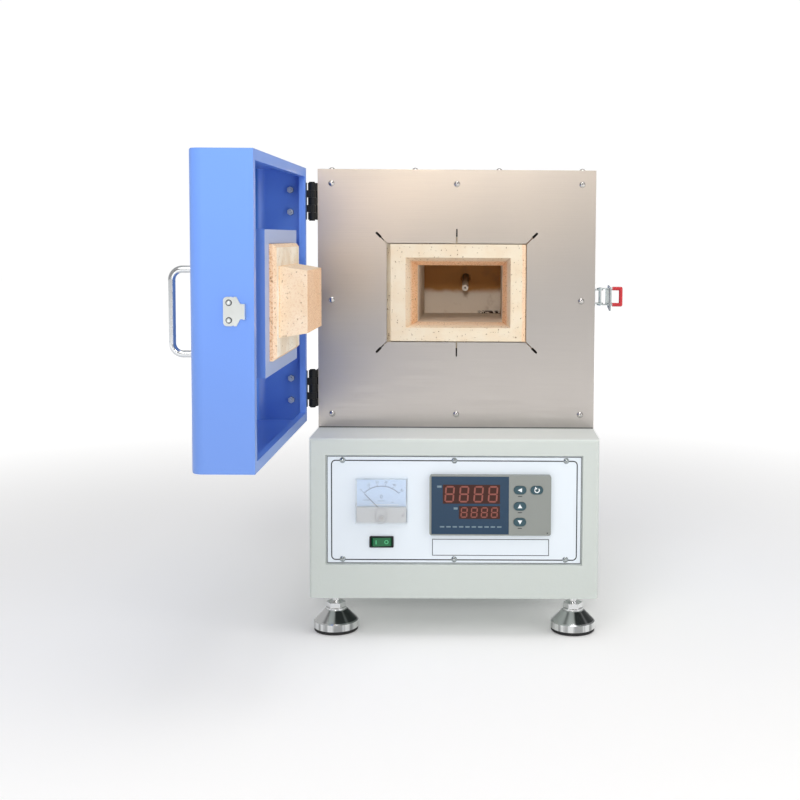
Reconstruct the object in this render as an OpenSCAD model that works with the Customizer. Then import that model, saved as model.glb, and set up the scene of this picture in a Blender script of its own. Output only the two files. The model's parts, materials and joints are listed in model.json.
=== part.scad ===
// Bench muffle furnace, drawn with its door open a quarter turn. All sizes are in millimetres.
// X runs across the front, Y runs from the front plate towards the back, Z runs up from the bench.

/* [Cabinet] */
// Width of the furnace body and of the control case
body_w = 382; // [370:1:420]
// Height of the furnace body
body_h = 357; // [345:1:400]
// Depth of the furnace body behind its front face
body_d = 400; // [385:1:460]
// Thickness of the painted cabinet sheet
sheet = 1.5; // [1:0.1:2]
// Thickness of the stainless front plate
plate_t = 1.2; // [0.8:0.1:1.8]
// Width of the turned flanges of the body shell
flange_w = 26; // [24:1:30]
// Air space between the insulation and the cabinet at the sides and the top
air_gap = 8; // [7:0.5:12]

/* [Mouth and chamber] */
// Height of the middle of the mouth above the bottom of the furnace body
mouth_rise = 188; // [180:1:195]
// Width of the mouth at its front edge
mouth_w = 145; // [140:1:150]
// Height of the mouth at its front edge
mouth_h = 97; // [92:1:102]
// Depth of the tapered mouth
mouth_depth = 45; // [38:1:52]
// Width of the chamber
chamber_w = 120; // [112:1:124]
// Height of the chamber
chamber_h = 80; // [76:1:84]
// Length of the chamber behind the mouth
chamber_l = 200; // [180:1:210]
// How far the middle of the mouth lies to the right of the middle of the body
mouth_x = 2; // [0:0.5:3]
// How far the middle of the chamber lies to the right of the middle of the body
chamber_x = 4; // [0:0.5:5]
// How far the middle of the chamber lies below the middle of the mouth
chamber_drop = 3; // [0:0.5:5]
// Wall of the ceramic muffle
muffle_wall = 14; // [10:1:16]
// Width of the brick face round the mouth
brick_w = 186; // [180:1:188]
// Height of the brick face round the mouth
brick_h = 134; // [130:1:138]
// Gap at the sides between the brick face and the front plate
brick_side_gap = 3.5; // [3:0.5:6]
// Gap above and below the brick face
brick_end_gap = 1.3; // [0.5:0.1:3]
// Length of the expansion slots that run out from the corners
slot_l = 21; // [12:1:24]
// Thickness of the rear insulation board
rear_board_t = 60; // [45:1:65]
// Diameter of the thermocouple sheath
probe_d = 9.5; // [7:0.5:12]
// Tilt of the thermocouple sheath below level, in degrees
probe_tilt = 15; // [0:1:16]
// Length of sheath that stands in the chamber
probe_l = 55; // [30:1:80]

/* [Control case] */
// Height of the control case
case_h = 213; // [205:1:240]
// How far the control case stands ahead of the front plate
case_front = 92.5; // [85:0.5:110]
// Rounding of the front edges of the control case
case_round = 4; // [2:0.5:8]
// Width of the panel opening
opening_w = 339; // [330:1:345]
// Height of the panel opening
opening_h = 146; // [140:1:152]
// Height of the middle of the panel above the underside of the case
panel_rise = 118; // [114:1:122]
// Thickness of the white panel
panel_t = 2; // [1.5:0.1:3]
// Depth of the panel face behind the front of the case
panel_recess = 3; // [1:0.5:6]
// Gap between the panel and the edge of its opening
panel_gap = 1.2; // [0.3:0.1:2]
// Width of the ledge that carries the panel
ledge_w = 12; // [9:0.5:13]

/* [Controls] */
// Width of the controller face
controller_w = 160; // [150:1:164]
// Height of the controller face
controller_h = 80; // [76:1:84]
// Width of the display window
window_w = 102; // [96:1:106]
// How far the controller face stands out of the panel
controller_proud = 8; // [5:0.5:12]
// Width of a key
key_w = 16.4; // [13:0.2:17.5]
// Height of a key
key_h = 11; // [9:0.2:13]
// Travel of a key
key_travel = 0.6; // [0.3:0.1:1]
// Width of the panel meter
meter_w = 68; // [62:1:72]
// Height of the panel meter
meter_h = 59; // [55:1:62]
// How far the meter stands out of the panel
meter_proud = 12; // [9:0.5:16]
// Length of the meter needle from its pivot
needle_l = 31; // [24:1:34]
// Width of the power switch
switch_w = 32; // [28:1:34]
// Height of the power switch
switch_h = 15; // [13:0.5:17]
// Tilt of the rocker to each side of level, in degrees
rocker_tilt = 8; // [5:1:10]

/* [Door] */
// Depth of the door pan
door_t = 70; // [64:1:80]
// Height of the door's lower edge above the bottom of the furnace body
door_rise = 11.5; // [6:0.5:20]
// Gap between the closed door rim and the front plate
rim_gap = 12; // [10:0.5:14]
// Rounding of the upright front edges of the door
door_round = 15; // [10:1:20]
// Rounding of the top and bottom front edges of the door
door_edge = 4; // [2.5:0.5:8]
// Width of the rim that is turned in round the door
rim_w = 12; // [9:0.5:14]
// Depth of the return behind the rim
rim_return = 8; // [5:0.5:10]
// Width of the plug holder
holder_w = 230; // [222:1:240]
// Height of the plug holder
holder_h = 167; // [162:1:174]
// How far the brick slab stands out of its holder
slab_proud = 8; // [5:0.5:9]
// Width of the brick slab
slab_w = 176; // [172:1:180]
// Height of the brick slab
slab_h = 134; // [130:1:138]
// Length of the tapered plug beyond the slab
plug_l = 32; // [24:1:34]
// Spacing of the handle legs
handle_span = 94; // [90:1:120]
// Diameter of the handle wire
handle_d = 8; // [6:0.5:10]
// Clear space between the door and the handle wire
handle_reach = 28.5; // [22:1:34]

/* [Hinges and latch] */
// Distance of the hinge pin outside the cabinet side
pin_out = 7; // [6.5:0.1:7.5]
// Height of a hinge
hinge_h = 50; // [45:1:60]
// Length of a hinge leaf from its pin
leaf_l = 38; // [34:1:42]
// Thickness of a hinge leaf
leaf_t = 3; // [2:0.1:3.5]
// Diameter of the hinge pin
pin_d = 5; // [4:0.1:6]
// Length of the latch lever beyond its pivot
lever_l = 32; // [28:1:38]
// Distance between the lever pivot and the bail pivot
throw = 12; // [10:0.5:13]
// Diameter of the bail wire
bail_d = 3; // [2.5:0.1:3.2]
// Length of the bail from its pivot to its bar
bail_l = 69; // [66:0.5:72]

/* [Feet] */
// Height of the case above the bench
foot_h = 55; // [52:1:70]
// Diameter of a foot
foot_d = 60; // [50:1:66]
// Diameter of the foot stud
stud_d = 10; // [8:1:12]
// Distance of the foot axes in from the edges of the case
foot_inset = 30; // [30:1:40]
// Distance of the front feet behind the front of the case
foot_setback = 42; // [38:1:60]

/* [Hidden] */
$fn = 48;

// Clear gap left round a piece that is seated in another
seat = 0.3;
// Radial clearance of a running fit
run = 0.05;
// Overrun of a cut past the face that it opens
over = 1;

case_top = foot_h + case_h;
body_top = case_top + body_h;
side_x = body_w / 2;
case_y = -case_front;
case_back = body_d;
shell_front = plate_t;
shell_back = body_d - sheet;
shell_top = body_top - sheet;

mouth_z = case_top + mouth_rise;
chamber_z = mouth_z - chamber_drop;
throat_w = chamber_w;
throat_h = chamber_h;
// The brick widens behind the front plate, so that the plate holds it in
shoulder = 10;
shoulder_y = 8;
muffle_y = mouth_depth;
muffle_back = 18;
muffle_end = muffle_y + chamber_l + muffle_back;
collar = 6;
collar_l = 12;
muffle_w = chamber_w + 2 * muffle_wall;
muffle_h = chamber_h + 2 * muffle_wall;
nest_w = muffle_w + 2 * collar + 2 * seat;
nest_h = muffle_h + 2 * collar + 2 * seat;
board_end = muffle_end + seat + rear_board_t;
terminal_gap = 1;
lead_tail = min(22, body_d - sheet - board_end - terminal_gap);
bushing_l = min(14, lead_tail - 0.5);
inner_x = side_x - sheet - air_gap;
inner_z0 = case_top + sheet + seat;
inner_z1 = shell_top - sheet - air_gap;
board_front = 15;

ribbon_t = 2.5;
ribbon_w = 4;
ribbon_pitch = 14;
lead_z = chamber_z + muffle_h / 2 + ribbon_t / 2 + seat;

// Where the sheath leaves the back wall of the chamber
probe_x = 9;
probe_y = muffle_y + chamber_l;
probe_z = chamber_z + 16;
probe_well_d = 16;
sheath_back = (muffle_back + seat + rear_board_t) / cos(probe_tilt) + 14;
lead_x = 50;
lead_d = 5;

screw_d = 4;
screw_hole_d = screw_d + 2 * seat;
plate_screw_x = side_x - 19;
plate_screw_z = [case_top + 19.5, body_top - 19.5];
plate_screw_mid_z = case_top + body_h / 2 - 1;
cover_screw_x = [side_x - 18, 58];
cover_screw_y = 14;

vent_rows = 6;
vent_pitch = 12;
vent_l = 100;
vent_w = 4;
wire_x = 110;
wire_y = body_d - 35;
wire_hole_d = 30;
pan_edge = 15;

panel_z = foot_h + panel_rise;
panel_y = case_y + panel_recess;
panel_back = panel_y + panel_t;
panel_screw_x = 147.5;
panel_screw_dz = 66;

controller_x = 47.5;
controller_z = foot_h + 126;
controller_y = panel_y - controller_proud;
controller_core_w = controller_w - 8;
controller_core_h = controller_h - 5;
controller_core_l = 65;
window_t = 1.8;
window_x = controller_x - controller_w / 2 + 2.5 + window_w / 2;
key_x = [controller_x + 39, controller_x + 61];
key_z = [controller_z + 20.7, controller_z - 0.8, controller_z - 21.9];
key_t = 3.6;
key_proud = 0.8;

meter_x = -95.8;
meter_z = foot_h + 130.9;
meter_y = panel_y - meter_proud;
meter_flange = 3;
meter_barrel_d = 48;
cover_wall = 1.5;
meter_mask_h = 22;
zero_screw_d = 7;
needle_z = meter_z - meter_h / 2 + meter_mask_h - 5;
needle_y = meter_y + 5;
needle_t = 0.6;
mask_t = 1.2;
needle_zero = 135;
dial_t = 1.5;
dial_y = panel_y - meter_flange - dial_t;

switch_x = -96;
switch_z = foot_h + 75.3;
switch_bezel_t = 2;
rocker_r = switch_w / 2 - 2.7;
rocker_h = switch_h - 4;
rocker_pivot_y = panel_y + 4;

closed_rim_y = -rim_gap;
pin_x = -side_x - pin_out;
pin_y = closed_rim_y + pin_out;
door_front_y = closed_rim_y - door_t;
door_h = body_h - door_rise;
door_z0 = body_top - door_h;
holder_y = closed_rim_y - 2;
skin_y = door_front_y + sheet;
plug_root_w = mouth_w - 8;
plug_root_h = mouth_h - 14;
plug_tip_w = plug_root_w - 15;
plug_tip_h = plug_root_h - 10;
slab_y = holder_y + slab_proud;
handle_x = max(side_x - 64, holder_w / 2 + 12);
handle_z = mouth_z - 7;
handle_bend = 12;

knuckle_d = 11;
knuckles = 5;
knuckle_gap = 0.2;
knuckle_l = hinge_h / knuckles;
hinge_z = [body_top - 44.5, case_top + 55.5];
hinge_bolt_dz = 15;
hinge_bolt_y = 28;

latch_z = mouth_z - 5.5;
latch_y = 33;
lever_x = side_x + 10;
lever_gap = 10.5;
lever_t = 1.5;
grip_d = 5.4;
wire_d = 3;
bail_dx = -5;
keeper_t = 2;
keeper_l = 24;
keeper_h = 31;
keeper_lip = 9;
keeper_z = latch_z + 3;
keeper_lip_h = 16;
// The lip stands just behind the bail when the lever is thrown back
keeper_lip_y = latch_y + throw - bail_l + bail_d / 2 + seat;
keeper_end_y = keeper_lip_y + keeper_t;

foot_x = side_x - foot_inset;
foot_ys = [case_y + foot_setback, case_back - foot_setback];
pad_t = 4.5;
foot_rim = 10;
foot_cone = 14.5;
foot_hex = 23;
foot_nut_t = 8;
foot_nut_z = foot_h + sheet;

gland_x = -110;
gland_z = foot_h + 60;
gland_bore_d = 10;
gland_hole_d = 16;

// A box between two corners
module block(lo, hi) {
    translate(lo) cube(hi - lo);
}

// A round bar between two points
module rod(p, q, d) {
    v = q - p;
    translate(p)
        rotate([0, acos(v.z / norm(v)), atan2(v.y, v.x)])
            cylinder(d = d, h = norm(v));
}

// An outline in X and Z, given thickness t behind y0
module upright(y0, t) {
    translate([0, y0 + t, 0]) rotate([90, 0, 0]) linear_extrude(t) children();
}

// An outline in Y and Z, given width w beyond x0
module sideways(x0, w) {
    translate([x0, 0, 0]) rotate([90, 0, 90]) linear_extrude(w) children();
}

// A centred rectangle with round corners
module round_rect(w, h, r) {
    square([w, h - 2 * r], center = true);
    square([w - 2 * r, h], center = true);
    for (x = [-1, 1], z = [-1, 1])
        translate([x * (w / 2 - r), z * (h / 2 - r)]) circle(r);
}

// A slot of length l and width w, with round ends
module oblong(l, w) {
    square([l - w, w], center = true);
    for (s = [-1, 1]) translate([s * (l - w) / 2, 0]) circle(d = w);
}

// A rectangle from x0 to x1 and y0 to y1, whose two corners at y0 are round
module round_ended(x0, x1, y0, y1, r) {
    translate([x0, y0 + r]) square([x1 - x0, y1 - y0 - r]);
    translate([x0 + r, y0]) square([x1 - x0 - 2 * r, r + over / 10]);
    for (x = [x0 + r, x1 - r]) translate([x, y0 + r]) circle(r);
}

// A box with round front edges at y0: r at the upright edges, r_level at the level ones
module soft_box(lo, hi, r, r_level) {
    intersection() {
        translate([0, 0, lo.z]) linear_extrude(hi.z - lo.z)
            round_ended(lo.x, hi.x, lo.y, hi.y, r);
        sideways(lo.x, hi.x - lo.x) union() {
            translate([lo.y, lo.z + r_level]) square([hi.y - lo.y, hi.z - lo.z - 2 * r_level]);
            translate([lo.y + r_level, lo.z]) square([hi.y - lo.y - r_level, hi.z - lo.z]);
            for (z = [lo.z + r_level, hi.z - r_level]) translate([lo.y + r_level, z]) circle(r_level);
        }
    }
}

// A wall with the outline of a rectangle, w wide inside its edge
module frame_outline(w, h, edge) {
    difference() {
        square([w, h], center = true);
        square([w - 2 * edge, h - 2 * edge], center = true);
    }
}

// A pan-head screw whose shank points along +Z
module screw(head_d, head_h, shank_l) {
    dome_r = (head_d * head_d / 4 + head_h * head_h) / (2 * head_h);
    difference() {
        intersection() {
            translate([0, 0, dome_r - head_h]) sphere(dome_r);
            translate([0, 0, -head_h - over]) cylinder(d = head_d - 0.2, h = head_h + over);
        }
        for (turn = [0, 90])
            rotate(turn) cube([head_d * 0.55, head_d * 0.12, 2 * head_h - 0.8], center = true);
    }
    cylinder(d = screw_d, h = shank_l);
}

// A bolt along +Z through a wall, with its nut and the end of its thread
module bolt(head_d, head_h, grip, nut_d, nut_h, tail) {
    translate([0, 0, -head_h]) cylinder(d1 = head_d * 0.75, d2 = head_d, h = head_h);
    cylinder(d = screw_d, h = grip + nut_h + tail);
    translate([0, 0, grip]) cylinder(d = nut_d, h = nut_h, $fn = 6);
}

// Places a piece of the open door from where it stands when the door is closed
module opened() {
    translate([pin_x, pin_y, 0]) rotate([0, 0, -90]) translate([-pin_x, -pin_y, 0]) children();
}

// Shell of the furnace body: two sides, a floor and turned flanges that take the covers
module upper_shell() {
    color("#9cbde8") difference() {
        block([-side_x, shell_front, case_top], [side_x, shell_back, shell_top]);
        block([-side_x + sheet, shell_front + sheet, case_top + sheet],
              [side_x - sheet, shell_back - sheet, shell_top - sheet]);
        block([-side_x + flange_w, shell_front - over, case_top + flange_w],
              [side_x - flange_w, shell_back + over, shell_top - flange_w]);
        block([-side_x + flange_w, shell_front + 2 * flange_w, shell_top - flange_w],
              [side_x - flange_w, shell_back - 2 * flange_w, body_top]);
        translate([wire_x, wire_y, case_top - over]) cylinder(d = wire_hole_d, h = sheet + 2 * over);
        plate_screw_places() cylinder(d = screw_hole_d, h = 2 * flange_w);
        cover_screw_places() cylinder(d = screw_hole_d, h = flange_w);
        rear_screw_places() cylinder(d = screw_hole_d, h = 2 * flange_w);
        latch_screw_places() cylinder(d = screw_hole_d, h = 20, center = true);
        for (z = hinge_z) hinge_bolt_places(z, 1) cylinder(d = screw_hole_d, h = 20, center = true);
    }
}

// Eight screws of the front plate
module plate_screw_places() {
    for (x = [-plate_screw_x, 0, plate_screw_x], z = plate_screw_z)
        translate([x, 0, z]) rotate([-90, 0, 0]) children();
    for (x = [-plate_screw_x, plate_screw_x])
        translate([x, 0, plate_screw_mid_z]) rotate([-90, 0, 0]) children();
}

// Screws along the front and back edges of the top cover
module cover_screw_places() {
    for (side = [-1, 1], x = cover_screw_x, y = [cover_screw_y, body_d - cover_screw_y])
        translate([side * x, y, body_top]) rotate([180, 0, 0]) children();
}

// Screws round the rear cover
module rear_screw_places() {
    for (x = [-plate_screw_x, 0, plate_screw_x], z = [case_top + flange_w / 2, shell_top - flange_w / 2])
        translate([x, body_d, z]) rotate([90, 0, 0]) children();
}

module top_cover() {
    color("#9cbde8") difference() {
        block([-side_x, shell_front, shell_top], [side_x, body_d, body_top]);
        cover_screw_places() cylinder(d = screw_hole_d, h = 3 * sheet, center = true);
    }
}

// Rear cover with two banks of cooling slots
module rear_cover() {
    color("#9cbde8") difference() {
        block([-side_x, body_d - sheet, case_top], [side_x, body_d, shell_top]);
        rear_screw_places() cylinder(d = screw_hole_d, h = 3 * sheet, center = true);
        upright(body_d - 2 * sheet, 3 * sheet)
            for (bank = [-1, 1], row = [0:vent_rows - 1])
                translate([bank * body_w / 4, case_top + 50 + row * vent_pitch])
                    oblong(vent_l, vent_w);
        upright(body_d - 2 * sheet, 3 * sheet)
            for (bank = [-1, 1], row = [0:vent_rows - 1])
                translate([bank * body_w / 4, shell_top - 50 - row * vent_pitch])
                    oblong(vent_l, vent_w);
    }
}

// Stainless front plate with slots that let it grow as the brick heats it
module front_plate() {
    slit_w = 1.4;
    slot_w = 3.2;
    middle_slot_w = 2;
    color("#cfc2b4") difference() {
        upright(0, plate_t) difference() {
            translate([0, case_top + body_h / 2]) square([body_w, body_h], center = true);
            translate([0, mouth_z]) {
                square([brick_w + 2 * brick_side_gap, brick_h + 2 * brick_end_gap], center = true);
                for (x = [-1, 1], z = [-1, 1])
                    translate([x * (brick_w / 2 + brick_side_gap), z * (brick_h / 2 + brick_end_gap)])
                        rotate(z * (x > 0 ? 45 : 135)) {
                            translate([-slit_w, -slit_w / 2]) square([slot_l * 0.6 + slit_w, slit_w]);
                            translate([slot_l * 3 / 4, 0]) oblong(slot_l / 2, slot_w);
                        }
                for (z = [-1, 1])
                    translate([0, z * (brick_h / 2 + brick_end_gap + slot_l / 2 - over)])
                        rotate(90) oblong(slot_l, middle_slot_w);
            }
        }
        plate_screw_places() cylinder(d = screw_hole_d, h = 3 * plate_t, center = true);
    }
}

module front_plate_screws() {
    color("silver") plate_screw_places() screw(9, 3, plate_t + sheet + 6);
}

// Screws of the covers and the latch, and the hinge bolts of the body
module cabinet_screws() {
    color("silver") {
        cover_screw_places() screw(9, 3, 2 * sheet + 6);
        rear_screw_places() screw(9, 3, 2 * sheet + 6);
        latch_screw_places() screw(7, 2.4, keeper_t + sheet + 4);
        for (z = hinge_z) hinge_bolt_places(z, 1) bolt(8, 2.4, leaf_t + sheet, 8, 3.2, 2);
    }
}

// Fibre board round the mouth brick
module insulation_front() {
    color("#efe9dc") difference() {
        block([-inner_x, board_front, inner_z0], [inner_x, muffle_y - seat, inner_z1]);
        block([mouth_x - brick_w / 2 - shoulder - seat, 0, mouth_z - brick_h / 2 - shoulder - seat],
              [mouth_x + brick_w / 2 + shoulder + seat, muffle_y, mouth_z + brick_h / 2 + shoulder + seat]);
    }
}

// Fibre trough that carries the muffle from below and at its sides
module insulation_tray() {
    color("#e9e2d2") difference() {
        block([-inner_x, muffle_y, inner_z0], [inner_x, muffle_end, chamber_z + nest_h / 2]);
        block([chamber_x - nest_w / 2, muffle_y - over, chamber_z - nest_h / 2],
              [chamber_x + nest_w / 2, muffle_end + over, chamber_z + nest_h]);
    }
}

module insulation_lid() {
    color("#efe9dc")
        block([-inner_x, muffle_y, chamber_z + nest_h / 2 + seat], [inner_x, muffle_end, inner_z1]);
}

module insulation_rear() {
    color("#e4dccb") difference() {
        block([-inner_x, muffle_end + seat, inner_z0], [inner_x, board_end, inner_z1]);
        probe_place() cylinder(d = probe_d + 2 * seat, h = 3 * rear_board_t, center = true);
        lead_places() cylinder(d = lead_d + 2 * seat, h = 3 * rear_board_t, center = true);
    }
}

// The sheath runs along +Z here, from the chamber towards the back
module probe_place() {
    translate([probe_x, probe_y, probe_z]) rotate([-90 + probe_tilt, 0, 0]) children();
}

module lead_places() {
    for (x = [-lead_x, lead_x])
        translate([chamber_x + x, muffle_end, lead_z]) rotate([-90, 0, 0]) children();
}

// Firebrick collar with the tapered mouth
module mouth_brick() {
    color("#efe3cc") difference() {
        translate([mouth_x, 0, mouth_z]) {
            block([-brick_w / 2, 0, -brick_h / 2], [brick_w / 2, muffle_y - seat, brick_h / 2]);
            block([-brick_w / 2 - shoulder, shoulder_y, -brick_h / 2 - shoulder],
                  [brick_w / 2 + shoulder, muffle_y - seat, brick_h / 2 + shoulder]);
        }
        taper([mouth_x, 0, mouth_z], mouth_w, mouth_h,
              [chamber_x, mouth_depth, chamber_z], throat_w, throat_h, over);
    }
}

// A tapered solid between two upright rectangles, run on past both ends
module taper(p, pw, ph, q, qw, qh, extra) {
    k = extra / (q.y - p.y);
    p2 = p - k * (q - p);
    q2 = q + k * (q - p);
    thin = 0.001;
    hull() {
        translate(p2) cube([pw + k * (pw - qw), thin, ph + k * (ph - qh)], center = true);
        translate(q2) cube([qw + k * (qw - pw), thin, qh + k * (qh - ph)], center = true);
    }
}

// Ceramic muffle with a collar at each end, between which the heating ribbon is wound
module muffle() {
    color("#c9bba6") difference() {
        translate([chamber_x, 0, chamber_z]) {
            block([-muffle_w / 2, muffle_y, -muffle_h / 2], [muffle_w / 2, muffle_end, muffle_h / 2]);
            for (y = [muffle_y, muffle_end - collar_l])
                block([-muffle_w / 2 - collar, y, -muffle_h / 2 - collar],
                      [muffle_w / 2 + collar, y + collar_l, muffle_h / 2 + collar]);
        }
        translate([chamber_x, 0, chamber_z])
            block([-chamber_w / 2, muffle_y - over, -chamber_h / 2],
                  [chamber_w / 2, muffle_y + chamber_l, chamber_h / 2]);
        probe_place() cylinder(d = probe_d + 2 * seat, h = 3 * muffle_back, center = true);
        probe_place() cylinder(d = probe_well_d, h = 12, center = true);
        lead_places() cylinder(d = lead_d + 2 * seat, h = 4 * collar_l, center = true);
    }
}

// Resistance ribbon wound round the muffle, with its two leads to the back
module heating_ribbon() {
    first = muffle_y + collar_l + 4;
    turns = floor((chamber_l + muffle_back - 2 * collar_l - 8 - ribbon_w) / ribbon_pitch);
    ring_w = muffle_w + 2 * ribbon_t + 2 * seat;
    ring_h = muffle_h + 2 * ribbon_t + 2 * seat;
    color("#8a6a4a") translate([chamber_x, 0, chamber_z]) {
        for (i = [0:turns])
            upright(first + i * ribbon_pitch, ribbon_w) frame_outline(ring_w, ring_h, ribbon_t);
        for (i = [0:turns - 1]) {
            x = (i % 2 == 0 ? -1 : 1) * muffle_w / 4;
            y = first + i * ribbon_pitch + ribbon_w / 2;
            block([x - ribbon_w, y, -ring_h / 2], [x + ribbon_w, y + ribbon_pitch, -ring_h / 2 + ribbon_t]);
        }
        for (x = [-lead_x, lead_x])
            rod([x, first + turns * ribbon_pitch, lead_z - chamber_z],
                [x, board_end + lead_tail, lead_z - chamber_z], lead_d);
    }
}

// Ceramic bushings that the leads pass through behind the rear board
module terminal_bushings() {
    color("#f2efe6") difference() {
        lead_places() translate([0, 0, board_end - muffle_end + seat]) {
            cylinder(d = 26, h = 5);
            cylinder(d = 15, h = bushing_l);
        }
        lead_places() cylinder(d = lead_d + 2 * run, h = 3 * rear_board_t);
    }
}

// Ceramic sheath of the thermocouple, open at its tip
module thermocouple_sheath() {
    color("#f4f0e8") probe_place() difference() {
        translate([0, 0, -probe_l])
            cylinder(d = probe_d, h = probe_l + sheath_back);
        translate([0, 0, -probe_l - over]) cylinder(d = probe_d / 3, h = 12);
    }
}

// Terminal head at the back end of the sheath
module thermocouple_head() {
    head_l = 26;
    color("#2a2a2c") probe_place() difference() {
        union() {
            translate([0, 0, sheath_back - 10]) cylinder(d = probe_d + 6, h = head_l);
            translate([0, 0, sheath_back]) cylinder(d = 30, h = head_l - 10);
        }
        translate([0, 0, sheath_back - 10 - over]) cylinder(d = probe_d + 2 * run, h = 10 + over);
    }
}

// Control case: front, sides, top and back, open below
module control_case() {
    pocket_d = panel_recess + panel_t + sheet / 2;
    color("#c9d1cc") difference() {
        union() {
            difference() {
                case_outer();
                block([-side_x + sheet, case_y + sheet, foot_h - over],
                      [side_x - sheet, case_back - sheet, case_top - sheet]);
            }
            translate([0, 0, panel_z]) upright(case_y + sheet / 2, pocket_d)
                frame_outline(opening_w + 2 * sheet, opening_h + 2 * sheet, sheet + ledge_w);
        }
        block([-opening_w / 2, case_y - over, panel_z - opening_h / 2],
              [opening_w / 2, panel_back, panel_z + opening_h / 2]);
        panel_screw_places() cylinder(d = screw_hole_d, h = 40, center = true);
        translate([wire_x, wire_y, case_top - 2 * sheet]) cylinder(d = wire_hole_d, h = 3 * sheet);
        gland_place() cylinder(d = gland_hole_d, h = 6 * sheet, center = true);
        upright(case_back - 2 * sheet, 3 * sheet)
            for (row = [0:vent_rows - 1])
                translate([body_w / 4, foot_h + 60 + row * vent_pitch])
                    oblong(vent_l, vent_w);
    }
}

// Outer form of the case, with its front upright edges and front top edge round
module case_outer() {
    r = case_round;
    intersection() {
        translate([0, 0, foot_h]) linear_extrude(case_h)
            round_ended(-side_x, side_x, case_y, case_back, r);
        sideways(-side_x, body_w) {
            translate([case_y, foot_h]) square([case_back - case_y, case_h - r]);
            translate([case_y + r, foot_h]) square([case_back - case_y - r, case_h]);
            translate([case_y + r, case_top - r]) circle(r);
        }
    }
}

// Bottom of the control case, with an upturned edge
module base_pan() {
    x = side_x - sheet - seat;
    y0 = case_y + sheet + seat;
    y1 = case_back - sheet - seat;
    color("#b9c1bd") difference() {
        block([-x, y0, foot_h], [x, y1, foot_h + pan_edge]);
        block([-x + sheet, y0 + sheet, foot_h + sheet], [x - sheet, y1 - sheet, foot_h + 2 * pan_edge]);
        foot_places() translate([0, 0, foot_h - over]) cylinder(d = stud_d + 1, h = pan_edge);
    }
}

module foot_places() {
    for (x = [-foot_x, foot_x], y = foot_ys) translate([x, y, 0]) children();
}

// Weld nuts on the base pan, in which the foot studs turn
module foot_nuts() {
    color("silver") foot_places() translate([0, 0, foot_nut_z]) difference() {
        cylinder(d = 1.9 * stud_d, h = foot_nut_t, $fn = 6);
        translate([0, 0, -over]) cylinder(d = stud_d + 2 * run, h = foot_nut_t + 2 * over);
    }
}

module panel_screw_places() {
    for (x = [-panel_screw_x, 0, panel_screw_x], z = [-panel_screw_dz, panel_screw_dz])
        translate([x, panel_y, panel_z + z]) rotate([-90, 0, 0]) children();
}

// White panel with the cut-outs for its instruments
module control_panel() {
    color("#e6ecf2") difference() {
        upright(panel_y, panel_t) difference() {
            translate([0, panel_z])
                square([opening_w - 2 * panel_gap, opening_h - 2 * panel_gap], center = true);
            translate([controller_x, controller_z])
                square([controller_core_w + 2 * seat, controller_core_h + 2 * seat], center = true);
            translate([meter_x, meter_z]) circle(d = meter_barrel_d + 2 * seat);
            translate([switch_x, switch_z])
                square([switch_w - 4 + 2 * seat, switch_h - 3 + 2 * seat], center = true);
        }
        panel_screw_places() cylinder(d = screw_hole_d, h = 4 * panel_t, center = true);
    }
}

module panel_screws() {
    color("silver") panel_screw_places() screw(8, 2.2, panel_t + 8);
}

// Controller housing: face with a pocket for the window and one for each key
module controller_body() {
    color("#a3a59a") difference() {
        union() {
            translate([controller_x, 0, controller_z]) upright(controller_y, controller_proud)
                round_rect(controller_w, controller_h, 3);
            translate([controller_x, 0, controller_z])
                upright(controller_y + 1, controller_core_l + controller_proud)
                square([controller_core_w, controller_core_h], center = true);
        }
        translate([window_x, 0, controller_z]) upright(controller_y - over, window_t + over)
            square([window_w, controller_h - 3], center = true);
        key_pocket(key_x[0], key_z[0]);
        key_pocket(key_x[1], key_z[0]);
        key_pocket(key_x[0], key_z[1]);
        key_pocket(key_x[0], key_z[2]);
    }
}

module key_pocket(x, z) {
    translate([x, 0, z]) upright(controller_y - over, key_t - key_proud + key_travel + 0.4 + over)
        oblong(key_w + 2 * seat, key_h + 2 * seat);
}

module controller_window() {
    color("#2f4867") translate([window_x, 0, controller_z]) upright(controller_y, window_t)
        square([window_w - seat, controller_h - 3 - seat], center = true);
}

// One key of the controller, standing a little out of its face
module key(x, z) {
    color("#3c5866") translate([x, 0, z]) upright(controller_y - key_proud, key_t)
        oblong(key_w, key_h);
}

module key_back() { key(key_x[0], key_z[0]); }
module key_loop() { key(key_x[1], key_z[0]); }
module key_up() { key(key_x[0], key_z[1]); }
module key_down() { key(key_x[0], key_z[2]); }

// Flange and barrel of the panel meter
module meter_case() {
    color("#c9d6e2") difference() {
        union() {
            translate([meter_x, 0, meter_z]) upright(panel_y - meter_flange, meter_flange)
                square([meter_w, meter_h], center = true);
            translate([meter_x, panel_y - over, meter_z]) rotate([-90, 0, 0])
                cylinder(d = meter_barrel_d, h = 32);
        }
        needle_place() cylinder(d = 3 + 2 * run, h = 3 * meter_proud, center = true);
    }
}

module needle_place() {
    translate([meter_x, needle_y, needle_z]) rotate([-90, 0, 0]) children();
}

module meter_dial() {
    dial_h = meter_h - meter_mask_h - cover_wall - 2 * seat;
    color("#cfe3f4") translate([meter_x, 0, meter_z + meter_h / 2 - cover_wall - seat - dial_h / 2])
        upright(dial_y, dial_t) square([meter_w - 2 * cover_wall - 2 * seat, dial_h], center = true);
}

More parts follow.
